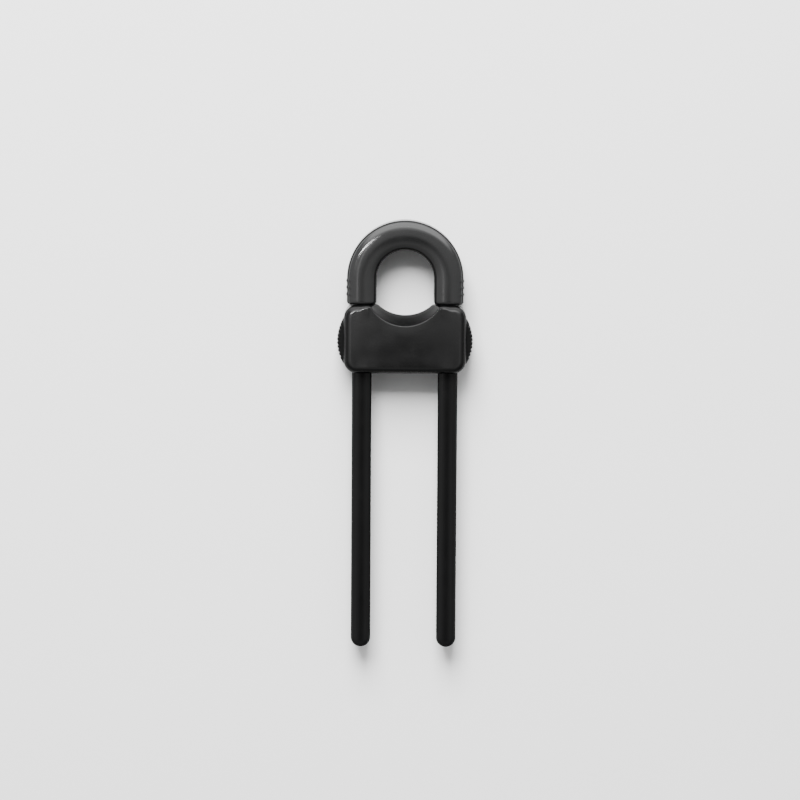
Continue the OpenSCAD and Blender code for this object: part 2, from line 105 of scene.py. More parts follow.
# The slider
SLIDER_X = front_high.x
SLIDER_T = front_high.z - back_low.z
SLIDER_TOP_Y = front_high.y
SLIDER_BOTTOM_Y = front_low.y
SLIDER_CORNER_R = 6 * MM
SIDE_EDGE_R = 3.3 * MM
END_EDGE_R = 3.2 * MM
BACK_EDGE_R = 1 * MM
SHOULDER_EDGE_R = 1.9 * MM
SADDLE_EDGE_R = 0.45 * MM
SADDLE_R = 18.6 * MM
SADDLE_MID_D = 5 * MM
SADDLE_FACE_D = 9.5 * MM
SADDLE_LAND_T = 2 * MM
SHOULDER_R = 2.2 * MM
FACE_CROWN = 0.8 * MM
PARTING_GROOVE = 0.12 * MM
SIDE_WALL = 2 * MM
FACE_WALL = 2.4 * MM
RIB_T = 1.7 * MM
TONGUE_T = 1 * MM
TONGUE_H = 1.1 * MM
LEG_GAP = 0.25 * MM
MOUTH_FLARE = 0.3 * MM

# The buttons and their grips
BUTTON_H = 21 * MM
BUTTON_T = 13.8 * MM
BUTTON_CORNER_R = 3 * MM
BUTTON_GAP = 0.2 * MM
PRESS_L = 1.8 * MM
GRIP_SEAT_H = 0.12 * MM
GRIP_PITCH = 1.8 * MM
GRIP_GROOVE_D = 0.5 * MM
GRIP_GROOVES = 9
GRIP_GROOVE_SHARE = 0.3  # half a groove's width, in pitches
GRIP_CREST_SINK = 0.12  # how far a rib's round top falls off towards its grooves, in groove depths
GRIP_EDGE_R = 1.1 * MM

# The latches, springs and screws inside
LATCH_L = 16 * MM
LATCH_BAR_T = 2.4 * MM
LATCH_GAP = 0.3 * MM
CHEEK_IN = 5.3 * MM
CHEEK_OUT = 8.5 * MM
MESH_GAP = 0.2 * MM
STEEP_GAP = 0.08 * MM
LATCH_EDGE_R = 0.15 * MM
WIRE_D = 0.6 * MM
SPRING_D = 4.6 * MM
SPRING_TURNS = 7
SPRING_CLOSED = 0.055  # how much of its length the turns move towards the ends, which closes them
SPRING_WALL_T = 2.4 * MM
PEG_D = 2.6 * MM
POST_D = 5 * MM
SCREW_X = 7 * MM
SCREW_D = 2 * MM
SCREW_L = 12 * MM
SCREW_HEAD_D = 4 * MM
SCREW_HEAD_T = 1.5 * MM
SCREW_PITCH = 0.8 * MM
SCREW_ROOT = 0.74  # the thread's root and the shank's point, as shares of its radius
SCREW_POINT = 0.25
DOME = 0.55  # the domed part of the head's thickness
DOME_TOP = 0.25  # the dome's flat top, as a share of its radius
CROSS_L = 0.27  # the cross recess: half its length and width, in head diameters, its depth, and its taper
CROSS_W = 0.065
CROSS_D = 0.62
CROSS_TAPER = 0.45
FIT_GAP = 0.1 * MM

# Steps in the curves
BACK_STEPS = 6
SIDE_STEPS = 5
FRONT_STEPS = 12
CROWN_STEPS = 8
CORNER_STEPS = 10
RUN_STEPS = 8
SHOULDER_STEPS = 8
SADDLE_STEPS = 16
EDGE_STEPS = 8
TIP_STEPS = 24
TURN_STEPS = 28
WIRE_SIDES = 10
SHANK_SIDES = 20
HEAD_SIDES = 40
DOME_STEPS = 9

# Places worked out from these
MID_Z = SLIDER_T / 2
TIP_Y = bar_low.y
ARCH_Y = bar_high.y - BOW_R
LIMB_END_Y = ARCH_Y - LIMB_L
LIMB_X = BOW_R - LIMB_W / 2
LEG_X = LIMB_X - LEG_INSET
LEG_IN_X = LEG_X - LEG_W / 2
LEG_OUT_X = LEG_X + LEG_W / 2
CAVITY_X = LEG_OUT_X + PRESS_L
SADDLE_Y = SLIDER_TOP_Y - SADDLE_MID_D + SADDLE_R
LATCH_Y = (grip_low.y + grip_high.y) / 2
FIRST_TOOTH_Y = LATCH_Y - LATCH_TEETH * TOOTH_PITCH / 2
BAR_IN_X = LEG_IN_X - LATCH_GAP - LATCH_BAR_T
GRIP_SEAT_X = grip_low.x
GRIP_OUT_X = grip_high.x
GRIP_H = BUTTON_H - 2 * BUTTON_GAP
GRIP_T = BUTTON_T - 2 * BUTTON_GAP
GRIP_CORNER_R = BUTTON_CORNER_R - BUTTON_GAP
RECESS_DEPTH = screws_low.z + SCREW_HEAD_T
SCREW_LOW_Y = screws_low.y + SCREW_HEAD_D / 2
SCREW_TOP_Y = screws_high.y - SCREW_HEAD_D / 2


# ---- Curves, as lists of (x, y, outward x, outward y)


def arc(cx, cy, r, start, end, steps):
    """An arc from one angle to another, in degrees."""
    out = []
    for i in range(steps + 1):
        a = math.radians(start + (end - start) * i / steps)
        out.append((cx + r * math.cos(a), cy + r * math.sin(a), math.cos(a), math.sin(a)))
    return out


def inside_line(start, end, normal, steps):
    """A straight stretch without its two ends."""
    return [
        (start[0] + (end[0] - start[0]) * i / steps, start[1] + (end[1] - start[1]) * i / steps, *normal)
        for i in range(1, steps)
    ]


def edge_curve(w, t, front_r, back_r, crown_r):
    """Half of a section with a crowned front: from the end of its flat back, round its side, to the middle
    of its front."""
    reach = w / 2 - front_r
    to_corner = crown_r - front_r
    corner_z = t - crown_r + math.sqrt(to_corner**2 - reach**2)
    crown_start = 90 - math.degrees(math.asin(reach / to_corner))
    points = arc(w / 2 - back_r, back_r, back_r, -90, 0, BACK_STEPS)
    points += inside_line((w / 2, back_r), (w / 2, corner_z), (1, 0), SIDE_STEPS)
    points += arc(reach, corner_z, front_r, 0, crown_start, FRONT_STEPS)
    return points + arc(0, t - crown_r, crown_r, crown_start, 90, CROWN_STEPS)[1:]


def rounded_rectangle(w, h, r, steps=8):
    """A closed rounded rectangle about the origin."""
    points = []
    for turn, (sx, sy) in enumerate(((1, 1), (-1, 1), (-1, -1), (1, -1))):
        points += arc(sx * (w / 2 - r), sy * (h / 2 - r), r, 90 * turn, 90 * turn + 90, steps)
    return points


def circle_points(r, steps=32):
    return arc(0, 0, r, 0, 360, steps)[:-1]


def smooth(x):
    """Rises smoothly from 0 at 0 to 1 at 1."""
    x = min(max(x, 0), 1)
    return x * x * (3 - 2 * x)


def fade(start, end, count):
    """Numbers that go smoothly from the first to the second."""
    return [start + (end - start) * smooth(i / (count - 1)) for i in range(count)]


# ---- Meshes


def add_rings(bm, rings, closed=True, caps=False):
    """Joins rows of points with quads. Every row has as many points as the next."""
    rows = [[bm.verts.new(p) for p in ring] for ring in rings]
    count = len(rows[0])
    for a, b in zip(rows, rows[1:]):
        for i in range(count if closed else count - 1):
            j = (i + 1) % count
            bm.faces.new((a[i], a[j], b[j], b[i]))
    if caps:
        bm.faces.new(rows[0])
        bm.faces.new(rows[-1])
    return rows


def new_object(name, bm):
    bmesh.ops.remove_doubles(bm, verts=bm.verts, dist=WELD)
    bmesh.ops.recalc_face_normals(bm, faces=bm.faces)
    mesh = bpy.data.meshes.new(name)
    bm.to_mesh(mesh)
    bm.free()
    obj = bpy.data.objects.new(name, mesh)
    bpy.context.scene.collection.objects.link(obj)
    return obj


def solid(rings, name="tool"):
    """A closed solid through rings of points."""
    bm = bmesh.new()
    add_rings(bm, rings, caps=True)
    return new_object(name, bm)


def block(low, high):
    """A plain box, to join to a larger shape."""
    ring = [(low[0], low[1]), (high[0], low[1]), (high[0], high[1]), (low[0], high[1])]
    return solid([[(*p, z) for p in ring] for z in (low[2], high[2])])


def post(place, stations, steps=32):
    """A turned solid along Z, through stations of (height, radius)."""
    rings = []
    for z, r in stations:
        rings.append([(place[0] + x, place[1] + y, z) for x, y, *normal in circle_points(r, steps)])
    return solid(rings)


def apply_modifiers(obj):
    graph = bpy.context.evaluated_depsgraph_get()
    mesh = bpy.data.meshes.new_from_object(obj.evaluated_get(graph))
    obj.modifiers.clear()
    obj.data = mesh


def combine(obj, operation, *others):
    """Joins other solids to a solid, or cuts them out of it, and then deletes them."""
    for other in others:
        step = obj.modifiers.new(operation.lower(), "BOOLEAN")
        step.operation = operation
        step.solver = "EXACT"
        step.object = other
    apply_modifiers(obj)
    for other in others:
        bpy.data.objects.remove(other)


def soften(obj, width, segments=2):
    """Rounds the sharp edges a little."""
    step = obj.modifiers.new("bevel", "BEVEL")
    step.width = width
    step.segments = segments
    step.angle_limit = math.radians(40)
    apply_modifiers(obj)


def shade(obj, sharp_angle=35):
    """Smooth shading that keeps the sharp edges and lets flat faces look flat."""
    bm = bmesh.new()
    bm.from_mesh(obj.data)
    limit = math.radians(sharp_angle)
    for face in bm.faces:
        face.smooth = True
    for edge in bm.edges:
        edge.smooth = len(edge.link_faces) == 2 and edge.calc_face_angle(0) < limit
    bm.to_mesh(obj.data)
    bm.free()
    step = obj.modifiers.new("normals", "WEIGHTED_NORMAL")
    step.keep_sharp = True


def finish_piece(obj, body, node, material):
    shade(obj)
    obj.data.materials.clear()
    obj.data.materials.append(material)
    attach(obj, body)
    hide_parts(node)
    return obj


def word_for(side):
    return "left" if side < 0 else "right"


def mirror_if_left(obj, side):
    """Turns a right-hand piece into the left-hand one."""
    if side < 0:
        obj.data.transform(Matrix.Diagonal((-1, 1, 1, 1)))
        obj.data.flip_normals()


# ---- The bar


def pocket_depth(distance, depth):
    """Depth of a moulded pocket at a distance inside its rim: a steep wall, then a small fillet."""
    if distance <= 0:
        return 0
    if distance < HOLLOW_DRAFT:
        return (depth - HOLLOW_FILLET) * distance / HOLLOW_DRAFT
    if distance < HOLLOW_DRAFT + HOLLOW_FILLET:
        left = 1 - (distance - HOLLOW_DRAFT) / HOLLOW_FILLET
        return depth - HOLLOW_FILLET + HOLLOW_FILLET * math.sqrt(1 - left * left)
    return depth


POCKET_STEPS = [0, 0.35 * HOLLOW_DRAFT, HOLLOW_DRAFT]
POCKET_STEPS += [HOLLOW_DRAFT + share * HOLLOW_FILLET for share in (0.12, 0.37, 0.7, 1)]
BOW_PATH_L = 2 * LIMB_L + math.pi * LIMB_X
HOLLOW_STEP = math.pi * LIMB_X / HOLLOWS
RIDGE_PLACES = [LIMB_L - RIDGE_FIRST - i * RIDGE_PITCH for i in range(RIDGES)]


def hollow_rims():
    """Places along half of the bow where a hollow starts or ends, and the way into it."""
    rims = [(BOW_WALL, 1), (LIMB_L - HOLLOW_RIB_T / 2, -1)]
    for i in range(HOLLOWS // 2):
        start = LIMB_L + i * HOLLOW_STEP
        rims.append((start + HOLLOW_RIB_T / 2, 1))
        rims.append((start + HOLLOW_STEP - HOLLOW_RIB_T / 2, -1))
    return rims


def bow_places():
    """Stations along half of the bow's middle line, closer where its shape changes."""
    places = [rim + way * step for rim, way in hollow_rims() for step in POCKET_STEPS]
    places += [ridge + share * RIDGE_W / 2 for ridge in RIDGE_PLACES for share in (-1, -0.5, 0, 0.5, 1)]
    limb_steps = round(LIMB_L / MM)
    places += [LIMB_L * i / limb_steps for i in range(limb_steps + 1)]
    arch_steps = 60
    places += [LIMB_L + (BOW_PATH_L / 2 - LIMB_L) * i / arch_steps for i in range(arch_steps + 1)]
    places = sorted(p for p in places if LIMB_END_R < p <= BOW_PATH_L / 2)
    kept = [places[0]]
    for place in places[1:]:
        if place - kept[-1] > 2 * HAIR:
            kept.append(place)
    return kept


def bow_stations():
    """(place along the bow, inset of its section), from one limb's rounded end to the other's."""
    ends = []
    for i in range(EDGE_STEPS + 1):
        a = math.pi / 2 * i / EDGE_STEPS
        ends.append((LIMB_END_R * (1 - math.cos(a)), LIMB_END_R * (1 - math.sin(a))))
    half = ends + [(place, 0) for place in bow_places()]
    return half + [(BOW_PATH_L - place, inset) for place, inset in reversed(half[:-1])]


def bow_hollow_depth(place, u):
    """Depth of the hollows in the bow's back, at a place along it and a distance off its middle line."""
    place = min(place, BOW_PATH_L - place)
    rib = HOLLOW_RIB_T / 2
    if place < LIMB_L:
        along = min(place - BOW_WALL, LIMB_L - rib - place)
    else:
        past = (place - LIMB_L) % HOLLOW_STEP
        along = min(past - rib, HOLLOW_STEP - rib - past)
    across = LIMB_W / 2 - BOW_WALL - abs(u)
    return min(pocket_depth(along, HOLLOW_D), pocket_depth(across, HOLLOW_D))


def bow_section(place, inset):
    """The bow's section at a place, as points (outwards from its middle line, height)."""
    w = LIMB_W - 2 * inset
    back_r = max(BOW_BACK_R - inset, 4 * HAIR)
    side = edge_curve(w, BOW_T - 2 * inset, BOW_FRONT_R - inset, back_r, BOW_CROWN_R - inset)
    rim = LIMB_W / 2 - BOW_WALL
    back = [0, 0.3 * rim, 0.6 * rim, 0.8 * rim]
    back += [rim - step for step in reversed(POCKET_STEPS)]
    back.append((rim + w / 2 - back_r) / 2)
    depths = [0 if inset else bow_hollow_depth(place, u) for u in back]
    from_end = min(place, BOW_PATH_L - place)
    ridge = max(max(0, 1 - abs(from_end - p) / (RIDGE_W / 2)) for p in RIDGE_PLACES)
    points = [(u, inset + depth) for u, depth in zip(back, depths)]
    for x, z, nx, nz in side:
        lift = RIDGE_H * ridge * smooth((nx - RIDGE_FRONT) / (RIDGE_FULL - RIDGE_FRONT))
        points.append((x + nx * lift, z + nz * lift + inset))
    points += [(-x, z + inset) for x, z, nx, nz in reversed(side[:-1])]
    return points + [(-u, inset + depth) for u, depth in reversed(list(zip(back, depths))[1:])]


def bow_point(place, u, z):
    """The point at a place along the bow, a distance outwards from its middle line."""
    if place < LIMB_L:
        return (LIMB_X + u, LIMB_END_Y + place, z)
    if place > BOW_PATH_L - LIMB_L:
        return (-LIMB_X - u, LIMB_END_Y + BOW_PATH_L - place, z)
    a = (place - LIMB_L) / LIMB_X
    return ((LIMB_X + u) * math.cos(a), ARCH_Y + (LIMB_X + u) * math.sin(a), z)


def make_bow():
    rings = []
    for place, inset in bow_stations():
        rings.append([bow_point(place, u, z) for u, z in bow_section(place, inset)])
    return solid(rings)


def tooth_line():
    """Places along a leg's inner side and the depth of the ratchet's notches there, from the tip upwards.

    The steep faces look towards the bow. Below the teeth the leg stays as thin as at their roots."""
    tip_centre = TIP_Y + LEG_W / 2
    low = math.ceil((tip_centre - FIRST_TOOTH_Y) / TOOTH_PITCH)
    high = math.floor((LIMB_END_Y - LIMB_END_R - FIRST_TOOTH_Y) / TOOTH_PITCH)
    line = [(tip_centre, TOOTH_H)]
    for i in range(low, high):
        y = FIRST_TOOTH_Y + i * TOOTH_PITCH
        line.append((y, TOOTH_H))
        line.append((y + TOOTH_PITCH - TOOTH_LAND, 0))
        line.append((y + TOOTH_PITCH - HAIR, 0))
    return line + [(LIMB_END_Y + LIMB_END_R, 0)]


def leg_stations():
    """Stations round a leg: down its outer side, round its tip and up its inner side, as (middle, way
    outwards, depth of the notch)."""
    line = tooth_line()
    outer = [(y, (1, 0), 0) for y, depth in reversed(line)]
    inner = [(y, (-1, 0), depth) for y, depth in line]
    tip = []
    for i in range(1, TIP_STEPS):
        a = -math.pi * i / TIP_STEPS
        tip.append((line[0][0], (math.cos(a), math.sin(a)), TOOTH_H))
    return outer + tip + inner


def leg_profile():
    """Half of a leg's section, as (outwards, height, whether the teeth cut it)."""
    band_top = LEG_T - TOOTH_CAP_T
    side = edge_curve(LEG_W, LEG_T, LEG_FRONT_R, LEG_BACK_R, LEG_CROWN_R)
    below = [(v, z, True) for v, z, *normal in side if z < band_top]
    above = [(v, z, False) for v, z, *normal in side if z > band_top]
    step = [(LEG_W / 2, band_top, True), (LEG_W / 2, band_top, False)]
    return [(0, 0, True)] + below + step + above


def make_leg(side):
    bm = bmesh.new()
    rings = []
    for y, way, depth in leg_stations():
        ring = []
        for v, z, cut in leg_profile():
            x = LEG_X + way[0] * v
            if cut and way[0] < 0:
                x = max(x, LEG_IN_X + depth)
            ring.append((side * x, y + way[1] * v, MID_Z - LEG_T / 2 + z))
        rings.append(ring)
    rows = add_rings(bm, rings, closed=False)
    bm.faces.new(rows[0] + rows[-1][::-1])
    return new_object("tool", bm)


def make_bar(material):
    bar = make_bow()
    bar.name = "bar_moulding"
    combine(bar, "UNION", make_leg(1), make_leg(-1))
    finish_piece(bar, "bar", "u_bar", material)


# ---- The slider's shells


def with_edges(points, radii):
    """Adds an edge radius to every point."""
    return [(*point, radius) for point, radius in zip(points, radii)]


def mirrored(points):
    """The points on the other side of the middle, in the opposite order."""
    return [(-x, y, -nx, ny, radius) for x, y, nx, ny, radius in reversed(points)]


def half_top(z):
    """The left half of the slider's top at a height: its corner, a straight run, its shoulder and half of
    its hollow, which is deeper away from the middle of the thickness."""
    off_land = max(0, abs(z - MID_Z) - SADDLE_LAND_T / 2)
    slope = (SADDLE_FACE_D - SADDLE_MID_D) / (MID_Z - SADDLE_LAND_T / 2)
    saddle_y = SADDLE_Y - off_land * slope
    drop = saddle_y - SLIDER_TOP_Y + SHOULDER_R
    shoulder_x = math.sqrt((SADDLE_R + SHOULDER_R) ** 2 - drop**2)
    lean = math.degrees(math.atan2(drop, shoulder_x))
    corner_x, corner_y = SLIDER_CORNER_R - SLIDER_X, SLIDER_TOP_Y - SLIDER_CORNER_R
    corner = arc(corner_x, corner_y, SLIDER_CORNER_R, 180, 90, CORNER_STEPS)
    run = inside_line((corner_x, SLIDER_TOP_Y), (-shoulder_x, SLIDER_TOP_Y), (0, 1), RUN_STEPS)
    shoulder = arc(-shoulder_x, SLIDER_TOP_Y - SHOULDER_R, SHOULDER_R, 90, lean, SHOULDER_STEPS)
    hollow = arc(0, saddle_y, SADDLE_R, 180 + lean, 270, SADDLE_STEPS)[1:]
    points = with_edges(corner, fade(SIDE_EDGE_R, END_EDGE_R, len(corner)))
    points += with_edges(run, fade(END_EDGE_R, SHOULDER_EDGE_R, len(run)))
    points += with_edges(shoulder, fade(SHOULDER_EDGE_R, SADDLE_EDGE_R, len(shoulder)))
    return points + [(x, y, -nx, -ny, SADDLE_EDGE_R) for x, y, nx, ny in hollow]


@functools.lru_cache(maxsize=None)
def slider_outline(z):
    """The slider's outline at a height: its top from left to right, its bottom likewise, and its two sides
    upwards. Every point is (x, y, outward x, outward y, edge radius)."""
    left = half_top(z)
    tops = left + mirrored(left[:-1])
    low_y, high_y = SLIDER_BOTTOM_Y + SLIDER_CORNER_R, SLIDER_TOP_Y - SLIDER_CORNER_R
    corner = arc(SLIDER_CORNER_R - SLIDER_X, low_y, SLIDER_CORNER_R, 180, 270, CORNER_STEPS)
    corner = with_edges(corner, fade(SIDE_EDGE_R, END_EDGE_R, len(corner)))
    middle = tops[len(corner):-len(corner)]
    bottoms = corner + [(p[0], SLIDER_BOTTOM_Y, 0, -1, END_EDGE_R) for p in middle] + mirrored(corner)
    rows = inside_line((-SLIDER_X, low_y), (-SLIDER_X, high_y), (-1, 0), RUN_STEPS)
    lefts = [(*p, SIDE_EDGE_R) for p in rows]
    rights = [(-x, y, 1, 0, radius) for x, y, nx, ny, radius in lefts]
    return tops, bottoms, lefts, rights


def outline_loop(z):
    """The outline's points in one closed loop, clockwise from its upper left corner."""
    tops, bottoms, lefts, rights = slider_outline(z)
    return tops + rights[::-1] + bottoms[::-1] + lefts


def inset_loop(z, inset):
    return [(x - nx * inset, y - ny * inset, z) for x, y, nx, ny, edge in outline_loop(z)]


def face_crown(x, y):
    """How far the slider's front face lies under its highest line."""
    middle = (SLIDER_TOP_Y + SLIDER_BOTTOM_Y) / 2
    half_h = (SLIDER_TOP_Y - SLIDER_BOTTOM_Y) / 2
    return FACE_CROWN * ((x / SLIDER_X) ** 2 + 0.35 * ((y - middle) / half_h) ** 2)


def shell_ring(share, turned, front):
    """A ring round a shell. share goes from 0 at the parting plane to 1 where the rounded edge starts, and
    turned from 0 there to 1 at the face."""
    ring = []
    sign = 1 if front else -1
    for i, (x, y, nx, ny, r) in enumerate(outline_loop(MID_Z)):
        r = r if front else min(r, BACK_EDGE_R)
        face = SLIDER_T - face_crown(x - nx * r, y - ny * r) if front else 0
        a = math.pi / 2 * turned
        z = MID_Z + (face - sign * r - MID_Z) * share + sign * r * math.sin(a)
        inset = r * (1 - math.cos(a)) if share else PARTING_GROOVE
        x, y, nx, ny, edge = outline_loop(z)[i]
        ring.append((x - nx * inset, y - ny * inset, z))
    return ring


def fill_face(bm, ring, height):
    """Fills a ring of vertices with a grid between its top and its bottom. height gives its crown."""
    tops, bottoms, lefts, rights = slider_outline(MID_Z)
    n, m = len(tops), len(lefts)
    top, right = ring[:n], ring[n:n + m][::-1]
    bottom, left = ring[n + m:2 * n + m][::-1], ring[2 * n + m:]
    grid = [bottom]
    for row in range(m):
        inner = []
        for low, high in list(zip(bottom, top))[1:-1]:
            place = low.co.lerp(high.co, (row + 1) / (m + 1))
            place.z = height(place.x, place.y)
            inner.append(bm.verts.new(place))
        grid.append([left[row], *inner, right[row]])
    grid.append(top)
    for a, b in zip(grid, grid[1:]):
        for i in range(n - 1):
            bm.faces.new((a[i], a[i + 1], b[i + 1], b[i]))


def shell_block(name, front):
    """A closed block with the outer form of one of the slider's shells."""
    near = PARTING_GROOVE / (MID_Z - SIDE_EDGE_R)
    land = SADDLE_LAND_T / 2 / (MID_Z - SIDE_EDGE_R)
    levels = [(0, 0), (near, 0), (land, 0), (0.4, 0), (0.7, 0)]
    levels += [(1, i / EDGE_STEPS) for i in range(EDGE_STEPS + 1)]
    bm = bmesh.new()
    rows = add_rings(bm, [shell_ring(share, turned, front) for share, turned in levels])
    fill_face(bm, rows[0], lambda x, y: MID_Z)
    fill_face(bm, rows[-1], lambda x, y: SLIDER_T - face_crown(x, y) if front else 0)
    return new_object(name, bm)


def inside_of(inset, from_z, to_z):
    """A solid that follows the slider's outline at an inset, between two heights."""
    steps = 6
    return solid([inset_loop(from_z + (to_z - from_z) * i / steps, inset) for i in range(steps + 1)])


def grown_leg_ring(side, y, grow):
    half = edge_curve(LEG_W + 2 * grow, LEG_T + 2 * grow, LEG_FRONT_R + grow, LEG_BACK_R + grow,
                      LEG_CROWN_R + grow)
    points = half + [(-x, z, 0, 0) for x, z, *normal in reversed(half[:-1])]
    base_z = MID_Z - LEG_T / 2 - grow
    return [(side * LEG_X + p[0], y, base_z + p[1]) for p in points]


def leg_passage(side):
    """What a leg's passage takes away, with a small flare at each mouth."""
    ends = [
        (SLIDER_BOTTOM_Y - MM, LEG_GAP + MOUTH_FLARE + MM),
        (SLIDER_BOTTOM_Y + MOUTH_FLARE, LEG_GAP),
        (SLIDER_TOP_Y - MOUTH_FLARE, LEG_GAP),
        (SLIDER_TOP_Y + MM, LEG_GAP + MOUTH_FLARE + MM),
    ]
    return solid([grown_leg_ring(side, y, grow) for y, grow in ends])


def button_ring(side, x, grow):
    points = rounded_rectangle(BUTTON_H + 2 * grow, BUTTON_T + 2 * grow, BUTTON_CORNER_R + grow)
    return [(side * x, LATCH_Y + y, MID_Z + z) for y, z, *normal in points]


def button_window(side):
    stations = [
        (LEG_OUT_X, BUTTON_GAP),
        (SLIDER_X - MOUTH_FLARE, BUTTON_GAP),
        (SLIDER_X + MM, BUTTON_GAP + MOUTH_FLARE + MM),
    ]
    return solid([button_ring(side, x, grow) for x, grow in stations])


SCREW_PLACES = [(side * SCREW_X, y) for side in (-1, 1) for y in (SCREW_LOW_Y, SCREW_TOP_Y)]


def guide_ribs(from_z, to_z):
    """Ribs above and below each latch, which guide it and the leg."""
    low_x, high_x = BAR_IN_X - LATCH_GAP, CAVITY_X + SIDE_WALL / 4
    reach = LATCH_L / 2 + LATCH_GAP
    ribs = []
    for side in (-1, 1):
        for y in (LATCH_Y - reach - RIB_T, LATCH_Y + reach):
            xs = sorted((side * low_x, side * high_x))
            ribs.append(block((xs[0], y, from_z), (xs[1], y + RIB_T, to_z)))
    return ribs


def screw_posts(from_z, to_z):
    return [post(place, [(from_z, POST_D / 2), (to_z, POST_D / 2)]) for place in SCREW_PLACES]


def side_passages():
    return [make(side) for make in (leg_passage, button_window) for side in (-1, 1)]


def make_front_shell(material):
    shell = shell_block("slider_front", True)
    top_z = SLIDER_T - FACE_WALL
    combine(shell, "DIFFERENCE", inside_of(SIDE_WALL, MID_Z - MM, top_z),
            inside_of(SIDE_WALL - TONGUE_T - FIT_GAP, MID_Z - MM, MID_Z + TONGUE_H + FIT_GAP))
    deeper = top_z + FACE_WALL / 4
    combine(shell, "UNION", *guide_ribs(MID_Z, deeper), *screw_posts(MID_Z, deeper))
    r = (SCREW_D + FIT_GAP) / 2
    bottom = RECESS_DEPTH + SCREW_L + SCREW_D / 2
    stations = [(MID_Z - MM, r + MM + 2 * FIT_GAP), (MID_Z + 2 * FIT_GAP, r), (bottom, r)]
    pilots = [post(place, stations) for place in SCREW_PLACES]
    combine(shell, "DIFFERENCE", *side_passages(), *pilots)
    finish_piece(shell, "slider", "housing_front", material)


def spring_wall():
    """The wall between the springs and the peg through it that holds them."""
    low = (-SPRING_WALL_T / 2, LATCH_Y - SPRING_D / 2, FACE_WALL / 2)
    wall = block(low, (SPRING_WALL_T / 2, LATCH_Y + SPRING_D / 2, MID_Z + SPRING_D / 2))
    reach = (SPRING_WALL_T + PEG_D) / 2
    return [wall, peg(-reach, reach)]


def peg(from_x, to_x):
    """A round peg along X, in the middle of the springs, with rounded ends."""
    tip = PEG_D / 6
    stations = [(from_x, -tip), (from_x + tip, 0), (to_x - tip, 0), (to_x, -tip)]
    rings = []
    for x, grow in stations:
        points = circle_points(PEG_D / 2 + grow, 24)
        rings.append([(x, LATCH_Y + a, MID_Z + b) for a, b, *normal in points])
    return solid(rings)


def make_back_shell(material):
    shell = shell_block("slider_back", False)
    tongue = inside_of(SIDE_WALL - TONGUE_T, MID_Z - TONGUE_H, MID_Z + TONGUE_H)
    combine(shell, "UNION", tongue)
    combine(shell, "DIFFERENCE", inside_of(SIDE_WALL, FACE_WALL, MID_Z + 2 * TONGUE_H))
    deeper = FACE_WALL * 3 / 4
    combine(shell, "UNION", *guide_ribs(deeper, MID_Z), *screw_posts(deeper, MID_Z), *spring_wall())
    r, head_r = SCREW_D / 2 + 2 * FIT_GAP, SCREW_HEAD_D / 2 + 2 * FIT_GAP
    stations = [(-MM, head_r + MOUTH_FLARE + MM), (MOUTH_FLARE, head_r), (RECESS_DEPTH, head_r)]
    stations += [(RECESS_DEPTH, r), (MID_Z + MM, r)]
    holes = [post(place, stations) for place in SCREW_PLACES]
    combine(shell, "DIFFERENCE", *side_passages(), *holes)
    finish_piece(shell, "slider", "housing_back", material)


# ---- The buttons


def grip_height(y, reach):
    """How far the ribbed pad stands off its seat, at a place from its middle and a distance from its rim."""
    half = GRIP_H / 2
    rise = GRIP_OUT_X - GRIP_SEAT_X - GRIP_SEAT_H
    r = (half**2 + rise**2) / (2 * rise)
    height = GRIP_SEAT_H + math.sqrt(r * r - y * y) - (r - rise)
    along = r * math.asin(y / r) / GRIP_PITCH
    off = abs(along - round(along))
    if abs(round(along)) <= GRIP_GROOVES // 2:
        groove = max(0, 1 - off / GRIP_GROOVE_SHARE)
        height -= GRIP_GROOVE_D * groove * min(1, height / (2 * GRIP_GROOVE_D))
        height -= GRIP_CREST_SINK * GRIP_GROOVE_D * (1 - smooth(2 * off))
    edge = min(GRIP_EDGE_R, 0.8 * height)
    if reach < edge:
        left = 1 - max(reach, 0) / edge
        height -= edge * (1 - math.sqrt(1 - left * left))
    return height


def rim_distance(y, z):
    """How far inside the pad's rim a place lies."""
    past_y = max(0, abs(y) - (GRIP_H / 2 - GRIP_CORNER_R))
    past_z = max(0, abs(z) - (GRIP_T / 2 - GRIP_CORNER_R))
    if past_y > 0 and past_z > 0:
        return GRIP_CORNER_R - math.hypot(past_y, past_z)
    return min(GRIP_H / 2 - abs(y), GRIP_T / 2 - abs(z))


def grip_columns():
    """Places across the ribs, a little closer towards the pad's ends."""
    steps, gather = 180, 0.35
    places = [2 * i / steps - 1 for i in range(steps + 1)]
    return [GRIP_H / 2 * (gather * math.sin(math.pi / 2 * p) + (1 - gather) * p) for p in places]


def grip_ring(y):
    """The pad's section across the lock, at a place from its middle."""
    steps, r = 40, GRIP_CORNER_R
    into = max(0, abs(y) - (GRIP_H / 2 - r))
    half_t = GRIP_T / 2 - r + math.sqrt(max(r * r - into * into, 0))
    ring = []
    for i in range(steps + 1):
        z = half_t * math.sin(math.pi / 2 * (2 * i / steps - 1))
        ring.append((GRIP_SEAT_X + grip_height(y, rim_distance(y, z)), LATCH_Y + y, MID_Z + z))
    return [(GRIP_SEAT_X, *ring[0][1:]), *ring, (GRIP_SEAT_X, *ring[-1][1:])]


def make_grip(side, material):
    word = word_for(side)
    pad = solid([grip_ring(y) for y in grip_columns()], word + "_pad")
    mirror_if_left(pad, side)
    finish_piece(pad, word + "_button", word + "_grip", material)


